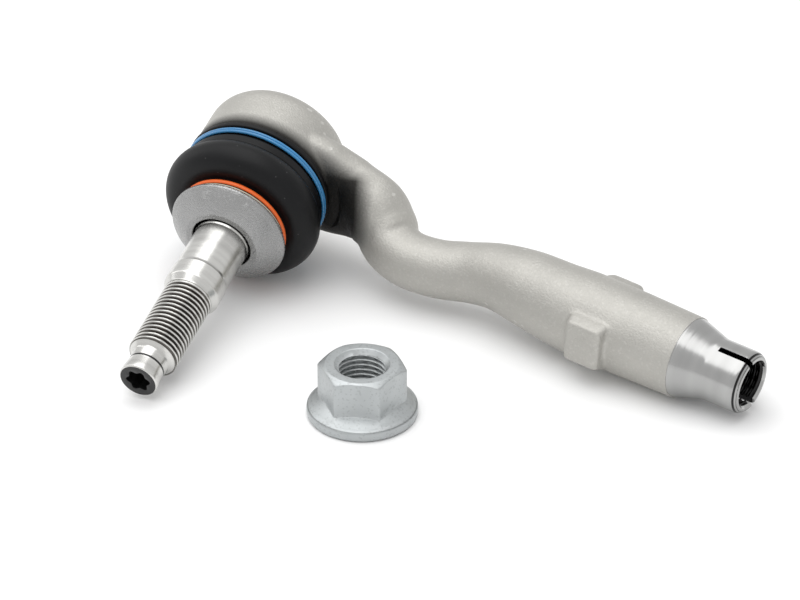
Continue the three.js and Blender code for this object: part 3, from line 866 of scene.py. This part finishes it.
def shank_end_cut():
    """Everything past the start of the cone, and the bore behind it."""
    depth = COLLET_END - BORE_DEPTH
    profile = [
        (1.0, depth - 2), (THREAD_R, depth), (THREAD_R, CONE_START - 0.02), (20.0, CONE_START - 0.02),
        (20.0, CONE_START + 6), (1.0, CONE_START + 6),
    ]
    return new_object("shank_end_cut", skin(SHANK.put(spin(profile, 96))))


class TIEROD_OT_forging(bpy.types.Operator):
    """Blend the head, arm, shank and pads into one forged skin, then cut its cavity and the boot's room"""

    bl_idname = "tierod.forging"
    bl_label = "Forged housing"

    def execute(self, context):
        shells = (arm_shell(), head_shell(), shank_shell(), *map(pad_shell, PAD_FLATS))
        body = new_object("forged_housing", *shells)
        shape_with(body, "REMESH", mode="VOXEL", voxel_size=sizes().skin_step)
        shape_with(body, "SMOOTH", factor=0.5, iterations=14)
        cut(body, head_cavity(), boot_room(), shank_end_cut())
        finish_piece(body, forged_material(), "housing", "housing_arm", 30)
        return {"FINISHED"}


def slot_tool():
    """The saw cut's room: a flat bar through the collet, from the slot's start to past the collet's end."""
    angles = turn_angles(64)[None]
    lean = np.radians(SLOT_LEAN)
    cosines, sines = squared(angles, 0.15)
    thick, wide = cosines * SLOT_WIDTH / 2, sines * (COLLET_R + 1)
    reach = np.array([SLOT_START, COLLET_END + 1])[:, None]
    side = thick * np.cos(lean) - wide * np.sin(lean)
    up = thick * np.sin(lean) + wide * np.cos(lean)
    points = np.stack([side + 0 * reach, up + 0 * reach, reach + 0 * side], -1)
    return new_object("slot_tool", skin(SHANK.put(points)))


class TIEROD_OT_collet(bpy.types.Operator):
    """Turn the machined cone and collet with their internal thread, and saw the collet's two slots"""

    bl_idname = "tierod.collet"
    bl_label = "Slit collet"

    def execute(self, context):
        outside = eased([
            (BORE_R + 0.9, CONE_START, 0), (CONE_R, CONE_START, 0), (COLLET_R, CONE_END, 0.6),
            (COLLET_R, COLLET_END - 1.2, 1.1), (BORE_MOUTH_R + 0.7, COLLET_END, 0.35),
            (BORE_MOUTH_R, COLLET_END, 0),
        ])
        heights = thread_heights(COLLET_END - 0.7, CONE_START)
        bore = np.stack([np.full(len(heights), BORE_R), heights], -1)
        angles = turn_angles(96)[None]
        ridge, fade = thread_ridge(heights[:, None], angles, 0, COLLET_END)
        relief = np.vstack([np.zeros((len(outside), 96)), (1 - ridge) * fade * sizes().thread_depth / MM])
        relief = np.minimum(relief, 0.72)
        collet = new_object(
            "machined_collet", skin(SHANK.put(spin(np.vstack([outside, bore]), 96, relief)), looped=True)
        )
        cut(collet, slot_tool())
        finish_piece(collet, collet_material(), "housing", "housing_arm", 40)
        return {"FINISHED"}


class TIEROD_OT_inside(bpy.types.Operator):
    """Turn the closing cover and give the bearing seat its plastic"""

    bl_idname = "tierod.inside"
    bl_label = "Cover and bearing seat"

    def execute(self, context):
        cover_r = COVER_R - GAP
        profile = eased([
            (0.5, -COVER_BACK + 0.8, 0), (8.0, -COVER_BACK + 0.8, 0.5), (9.0, -COVER_BACK, 0.5),
            (cover_r, -COVER_BACK, 0.2), (cover_r, -COVER_BACK + 1.8, 0.2), (0.5, -COVER_BACK + 1.8, 0),
        ])
        cover = new_object("closing_disc", skin(STUD.put(spin(profile, 96))))
        finish_piece(cover, cover_material(), "housing", "closing_cover")
        seat = frame["nodes"]["bearing_seat"]
        seat.data.materials.clear()
        seat.data.materials.append(moulded_material("Acetal", (0.82, 0.80, 0.74)))
        return {"FINISHED"}


# ---- Pieces on the stud ----


class TIEROD_OT_stud(bpy.types.Operator):
    """Turn the ball stud with its rolled thread and the star socket in its end"""

    bl_idname = "tierod.stud"
    bl_label = "Ball stud"

    def execute(self, context):
        count = 120
        angles = turn_angles(count)[None]
        flat_angle = -np.degrees(np.arcsin(BALL_FLAT / BALL_R))
        neck_angle = np.degrees(np.arccos(NECK_R / BALL_R))
        ball = arc((0, 0), BALL_R, flat_angle, neck_angle, 30)
        start, end = STUD_THREAD
        shank = eased([
            (NECK_R, 10.5, 0), (NECK_R, 13.5, 0.8), (STUD_SEAT_R, 16.4, 0.8), (STUD_SEAT_R, 29.2, 0.25),
            (7.88, 29.9, 0.25), (7.85, 44.0, 0.2), (BAND[2] - 0.15, BAND[0] - 0.2, 0.12),
            (BAND[2], BAND[0], 0.12), (BAND[2], BAND[1], 0.3), (THREAD_R - 0.1, start, 0.3),
            (THREAD_R, start + 0.3, 0),
        ])
        heights = thread_heights(start + 0.3, end)
        threaded = np.stack([np.full(len(heights), THREAD_R), heights], -1)
        pilot = eased([
            (THREAD_R - 0.4, end, 0), (PILOT_R - 0.1, end + 1.3, 0.5), (PILOT_R - 0.4, end + 4.2, 0.8),
            (PILOT_R, STUD_END - 1.6, 0.6), (PILOT_R, STUD_END - 0.35, 0.2), (PILOT_R - 0.35, STUD_END, 0.12),
            (PILOT_R - 1.2, STUD_END, 0),
        ])
        star = STAR_R + STAR_LOBE * np.cos(6 * angles)
        profile = np.vstack([[(1.5, -BALL_FLAT)], ball, shank, threaded, pilot])
        ridge, fade = thread_ridge(heights[:, None], angles, start, end + 0.8)
        relief = np.zeros((len(profile), count))
        first = len(profile) - len(pilot) - len(heights)
        relief[first:first + len(heights)] = -(1 - ridge) * fade * sizes().thread_depth / MM
        body = spin(profile, count, relief)
        rim = np.stack([star * np.cos(angles), star * np.sin(angles), 0 * star], -1)
        wall = np.stack([rim[0] + (0, 0, STUD_END - drop) for drop in (0.0, 0.05, 0.3, STAR_DEPTH)])
        wall[0] *= (1.04, 1.04, 1)
        floor = wall[-1:] * (0.3, 0.3, 1)
        stud = new_object("turned_stud", skin(STUD.put(np.vstack([body, wall, floor]))))
        finish_piece(stud, stud_material(), "stud", "ball_stud", 35)
        return {"FINISHED"}


class TIEROD_OT_collar(bpy.types.Operator):
    """Press the collar that seats in the knuckle: slightly domed, with a bright edge and two pips"""

    bl_idname = "tierod.collar"
    bl_label = "Seat collar"

    def execute(self, context):
        count = 144
        inner = STUD_SEAT_R + GAP
        edge = eased([
            (inner, COLLAR_BACK, 0), (COLLAR_R - 0.4, COLLAR_BACK, 0.15), (COLLAR_R, COLLAR_BACK + 0.5, 0.2),
            (COLLAR_R, 24.6, 0.2), (COLLAR_R - 0.6, 25.3, 0.3), (COLLAR_R - 1.0, 25.56, 0),
        ])
        share = np.linspace(0, 1, 40)[1:, None]
        rise = np.array([0, COLLAR_DOME]) * share * (1 - share)
        dome = np.array(COLLAR_SHOULDER) + np.subtract(COLLAR_CROWN, COLLAR_SHOULDER) * share + rise
        face = eased([
            (COLLAR_CROWN[0], COLLAR_CROWN[1] + 0.01, 0), (10.2, COLLAR_FACE, 0.1), (8.95, COLLAR_FACE, 0.15),
            (inner, 28.9, 0),
        ])
        profile = np.vstack([edge, dome, face])
        points = spin(profile, count)
        for angle, radius in PIPS:
            spot = radius * np.array([np.cos(np.radians(angle)), np.sin(np.radians(angle))])
            apart = np.linalg.norm(points[..., :2] - spot, axis=-1)
            on_top = points[..., 2] > 25
            points[..., 2] += np.where(on_top, 0.6 * np.exp(-((apart / 0.8) ** 4)), 0)
        collar = new_object("domed_collar", skin(STUD.put(points), looped=True))
        finish_piece(collar, collar_material(), "stud", "seat_collar")
        return {"FINISHED"}


# ---- Boot and its rings ----


def boot_walls():
    """Outer and inner profiles of the boot, both from its large end to its small end."""
    centre = (BULGE[1], BULGE[0])
    outer = np.vstack([
        eased([
            (18.6, BOOT_LIP[0], 0), (BOOT_LIP[2], BOOT_LIP[0], 0.35), (BOOT_LIP[2], BOOT_LIP[1], 0.35),
            (20.35, BOOT_LIP[1] + 0.35, 0.3), (20.3, 6.8, 0.3), (21.25, 7.35, 0.4), (21.3, 9.6, 0.25),
            (20.85, 10.15, 0.12), (21.25, 10.45, 0),
        ]),
        arc(centre, BULGE[2], *BULGE_TURN, 40),
        eased([
            (16.6, 19.62, 0), (15.6, 19.5, 0.35), (14.15, 20.05, 0.25), (14.15, 21.6, 0.2), (15.7, 21.8, 0.2),
            (15.7, 22.1, 0.1), (11.0, 22.1, 0),
        ]),
    ])
    inner = np.vstack([
        eased([(18.6, 6.9, 0), (19.5, 7.3, 0.2), (19.5, 10.4, 0.2)]),
        arc(centre, BULGE[2] - BOOT_WALL, *BULGE_TURN, 24),
        [(12.5, 17.6), (10.6, 17.0)],
    ])
    return outer, inner


def boot_half(name, large):
    """One half of the boot, as a closed ring: its outer wall one way and its inner wall back. Both halves end
    in the plane of the bulge's widest point, where they meet."""
    outer, inner = boot_walls()
    middle, widest = BULGE[0], BULGE[1] + BULGE[2]
    if large:
        wall = np.vstack([outer[outer[:, 1] < middle], [(widest, middle)]])
        back = np.vstack([inner[inner[:, 1] < middle], [(widest - BOOT_WALL, middle)]])
    else:
        wall = np.vstack([[(widest, middle)], outer[outer[:, 1] > middle]])
        back = np.vstack([[(widest - BOOT_WALL, middle)], inner[inner[:, 1] > middle]])
    points = spin(np.vstack([wall, back[::-1]]), 144)
    for angle, height in BOOT_PIPS:
        turn = np.radians(angle)
        spot = np.array([np.cos(turn) * BOOT_PIP_R, np.sin(turn) * BOOT_PIP_R, height])
        apart = np.linalg.norm(points - spot, axis=-1)
        lift = 1 + 0.012 * np.exp(-((apart / 0.7) ** 4))
        points = points * np.stack([lift, lift, np.ones_like(lift)], -1)
    half = new_object(name, skin(STUD.put(points), looped=True))
    finish_piece(half, rubber_material(), None, "boot", 60)
    if large:
        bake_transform(half)
    else:
        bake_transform(half)


class TIEROD_OT_boot(bpy.types.Operator):
    """Mould the boot in two halves that meet at the bulge"""

    bl_idname = "tierod.boot"
    bl_label = "Boot"

    def execute(self, context):
        boot_half("boot_large_half", True)
        boot_half("boot_small_half", False)
        return {"FINISHED"}


def ring_shell(centre, section, steps):
    """A ring of round section about the stud's axis, with its section's centre given as (radius, height)."""
    return skin(STUD.put(spin(arc(centre, section, -180, 180, steps)[:-1], 160)), looped=True)


class TIEROD_OT_rings(bpy.types.Operator):
    """Fit the two clamp rings and the bush that holds the boot's small end"""

    bl_idname = "tierod.rings"
    bl_label = "Clamp rings and bush"

    def execute(self, context):
        height, radius, wire, pitch = BLUE_RING
        turns = [ring_shell((radius, height + pitch * step), wire, 20) for step in (-0.5, 0.5)]
        blue = new_object("wire_clamp_ring", *turns)
        finish_piece(blue, coated_wire_material(), "housing", "boot_large_ring")
        height, radius, wire = ORANGE_RING
        orange = new_object("elastic_ring", ring_shell((radius, height), wire, 24))
        finish_piece(orange, elastic_ring_material(), "small_end", "boot_small_ring")
        inner = STUD_SEAT_R + GAP
        profile = eased([
            (inner, 17.0, 0), (inner + 1.7, 17.0, 0.2), (inner + 1.7, 22.4, 0.2), (BUSH_R, 22.4, 0.15),
            (BUSH_R, BUSH_FRONT, 0.15), (inner, BUSH_FRONT, 0),
        ])
        bush = new_object("moulded_bush", skin(STUD.put(spin(profile, 120)), looped=True))
        plastic = moulded_material("Moulded bush", (0.50, 0.46, 0.37))
        finish_piece(bush, plastic, "small_end", "boot_bush")
        return {"FINISHED"}


# ---- Nut ----


class TIEROD_OT_nut(bpy.types.Operator):
    """Form the flange nut: a chamfered hexagon on a sloped flange, threaded through"""

    bl_idname = "tierod.nut"
    bl_label = "Flange nut"

    def execute(self, context):
        count = 240
        angles = turn_angles(count)
        faces = np.radians(30 + 60 * np.arange(6))[:, None]
        hexagon = NUT_FLATS / 2 / (np.clip(np.cos(angles - faces), 0, 1) ** 90).sum(0) ** (1 / 90)
        top_r, steep = 9.95, 1.75
        slope = NUT_FLANGE_SLOPE / (NUT_FLANGE_R - NUT_FLATS / 2)

        def row(r, h):
            return np.stack([r + np.zeros(count), h + np.zeros(count)], -1)

        rows = [row(r, h) for r, h in eased([
            (BORE_R + 0.1, NUT_MOUTH_DEPTH, 0), (NUT_MOUTH_R, 0.0, 0.15), (NUT_FLANGE_R - 0.5, 0.0, 0.3),
            (NUT_FLANGE_R, 0.6, 0.4), (NUT_FLANGE_R, NUT_FLANGE_EDGE - 0.5, 0.4),
            (NUT_FLANGE_R - 0.6, NUT_FLANGE_EDGE, 0.4), (NUT_FLANGE_R - 1.6, NUT_FLANGE_EDGE + slope, 0),
        ])]
        foot = NUT_FLANGE_EDGE + slope * (NUT_FLANGE_R - hexagon)
        for out, lift in ((0.55, 0.0), (0.3, 0.05), (0.1, 0.18), (0.0, 0.5)):
            rows.append(row(hexagon + out, foot + lift))
        shoulder = NUT_HEIGHT - (hexagon - top_r) / steep
        for share in np.linspace(0.1, 1, 10):
            rows.append(row(hexagon, foot + 0.5 + (shoulder - 0.12 - foot - 0.5) * share))
        for share in (0.04, 0.3, 0.6, 0.9, 0.97):
            rows.append(row(hexagon + (top_r - hexagon) * share, shoulder + (NUT_HEIGHT - shoulder) * share))
        rows += [row(r, h) for r, h in eased([
            (top_r - 0.15, NUT_HEIGHT, 0), (NUT_MOUTH_R, NUT_HEIGHT, 0.2),
            (BORE_R + 0.1, NUT_HEIGHT - NUT_MOUTH_DEPTH, 0),
        ])]
        outside = np.stack(rows)
        heights = thread_heights(NUT_HEIGHT - NUT_MOUTH_DEPTH, NUT_MOUTH_DEPTH)
        bore = np.stack([np.full((len(heights), count), BORE_R), heights[:, None] + np.zeros(count)], -1)
        ridge, fade = thread_ridge(heights[:, None], angles[None], -1, NUT_HEIGHT)
        bore[..., 0] += (1 - ridge) * fade * sizes().thread_depth / MM
        grid = np.vstack([outside, bore])
        points = np.stack([grid[..., 0] * np.cos(angles), grid[..., 0] * np.sin(angles), grid[..., 1]], -1)
        nut = new_object("zinc_flange_nut", skin(NUT.put(points), looped=True))
        finish_piece(nut, nut_material(), "nut", "flange_nut", 50)
        return {"FINISHED"}


# ---- Stage ----

AIM = np.array([52.585, -6.577, -19.441])
CAMERA_AZIMUTH = 35.46
CAMERA_ELEVATION = 31.5
CAMERA_DISTANCE = 1.0
CAMERA_LENS = 162.0


def add_softbox(name, place, target, width, height, power):
    """An area light at place that faces target."""
    light = bpy.data.lights.new(name, "AREA")
    light.shape = "RECTANGLE"
    light.size = width
    light.size_y = height
    light.energy = power
    lamp = bpy.data.objects.new(name, light)
    lamp.location = place
    lamp.rotation_euler = (Vector(target) - Vector(place)).to_track_quat("-Z", "Y").to_euler()
    bpy.context.scene.collection.objects.link(lamp)


class TIEROD_OT_stage(bpy.types.Operator):
    """Lay the pale floor, hang the softboxes and set up the camera"""

    bl_idname = "tierod.stage"
    bl_label = "Stage, lights and camera"

    def execute(self, context):
        scene = context.scene
        scene.view_settings.view_transform = "Standard"
        half = 3000.0
        corners = np.array([(-half, -half, 0), (half, -half, 0), (half, half, 0), (-half, half, 0)])
        floor = new_object("studio_floor", (corners + (0, 0, FLOOR / MM - 0.02), [[0, 1, 2, 3]]))
        floor.data.materials.append(floor_material())
        world = bpy.data.worlds.new("Studio")
        scene.world = world
        world.use_nodes = True
        background = world.node_tree.nodes["Background"]
        background.inputs["Color"].default_value = (1, 1, 1, 1)
        background.inputs["Strength"].default_value = looks().room_light
        target = AIM * MM
        add_softbox("overhead_softbox", (-0.1, -0.1, 1.0), target, 1.4, 1.1, looks().key_power)
        add_softbox("left_softbox", (-0.9, -0.2, 0.5), target, 0.4, 0.8, looks().key_power * 0.15)
        azimuth, elevation = np.radians(CAMERA_AZIMUTH), np.radians(CAMERA_ELEVATION)
        back = Vector((
            np.sin(azimuth) * np.cos(elevation), -np.cos(azimuth) * np.cos(elevation), np.sin(elevation),
        ))
        lens = bpy.data.cameras.new("studio_camera")
        lens.lens = CAMERA_LENS
        lens.sensor_width = 36.0
        lens.clip_end = 20.0
        camera = bpy.data.objects.new("studio_camera", lens)
        camera.location = Vector(target) + back * CAMERA_DISTANCE
        camera.rotation_euler = (-back).to_track_quat("-Z", "Y").to_euler()
        scene.collection.objects.link(camera)
        scene.camera = camera
        return {"FINISHED"}


class TIEROD_PT_panel(bpy.types.Panel):
    """Lists the steps that build the tie rod end."""

    bl_idname = "TIEROD_PT_panel"
    bl_label = "Tie Rod End"
    bl_space_type = "VIEW_3D"
    bl_region_type = "UI"
    bl_category = "Tie Rod End"

    def draw(self, context):
        for operator in OPERATORS:
            self.layout.operator(operator.bl_idname)
        for group in (looks(), sizes()):
            for name in group.bl_rna.properties.keys():
                if name not in ("rna_type", "name"):
                    self.layout.prop(group, name)


OPERATORS = (
    TIEROD_OT_stage,
    TIEROD_OT_forging,
    TIEROD_OT_collet,
    TIEROD_OT_inside,
    TIEROD_OT_stud,
    TIEROD_OT_collar,
    TIEROD_OT_boot,
    TIEROD_OT_rings,
    TIEROD_OT_nut,
)
CLASSES = (TieRodLooks, TieRodSizes, *OPERATORS, TIEROD_PT_panel)


def register():
    for cls in CLASSES:
        bpy.utils.register_class(cls)
    bpy.types.Scene.tie_rod_looks = PointerProperty(type=TieRodLooks)
    bpy.types.Scene.tie_rod_sizes = PointerProperty(type=TieRodSizes)


def unregister():
    del bpy.types.Scene.tie_rod_sizes
    del bpy.types.Scene.tie_rod_looks
    for cls in reversed(CLASSES):
        bpy.utils.unregister_class(cls)


def main():
    """Runs every operator in order."""
    register()
    for operator in OPERATORS:
        group, name = operator.bl_idname.split(".")
        getattr(getattr(bpy.ops, group), name)()


if __name__ == "__main__":
    main()
